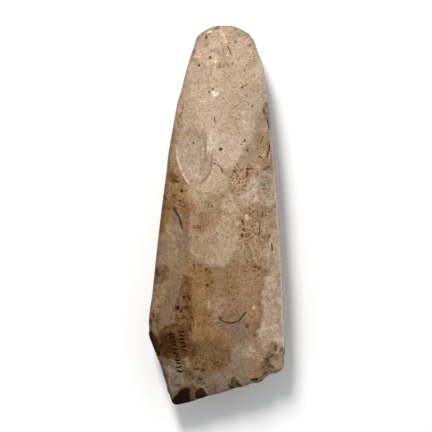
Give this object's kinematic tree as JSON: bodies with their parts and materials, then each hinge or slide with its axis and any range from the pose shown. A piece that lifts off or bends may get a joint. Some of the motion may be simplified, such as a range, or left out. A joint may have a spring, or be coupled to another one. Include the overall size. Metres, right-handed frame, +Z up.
{
  "type": "polished flint axe head",
  "caption": "Ground and polished flint axe head with a rounded butt, an oblique cutting edge, a broken corner and a brown-stained pale patina.",
  "frame": {"origin": "on the ground under the middle of the head's length and breadth, where it lies on one face", "axes": "+Y towards the butt, -Y towards the cutting edge, +X across the blade towards its whole corner, +Z up out of the upper face"},
  "size_m": [0.068, 0.1896, 0.0299],
  "materials": {
    "flint": "ground and polished flint, satin, cream to tan patina with ochre and umber staining"
  },
  "bodies": {
    "root": {"axe_head": "flint"}
  },
  "joints": []
}
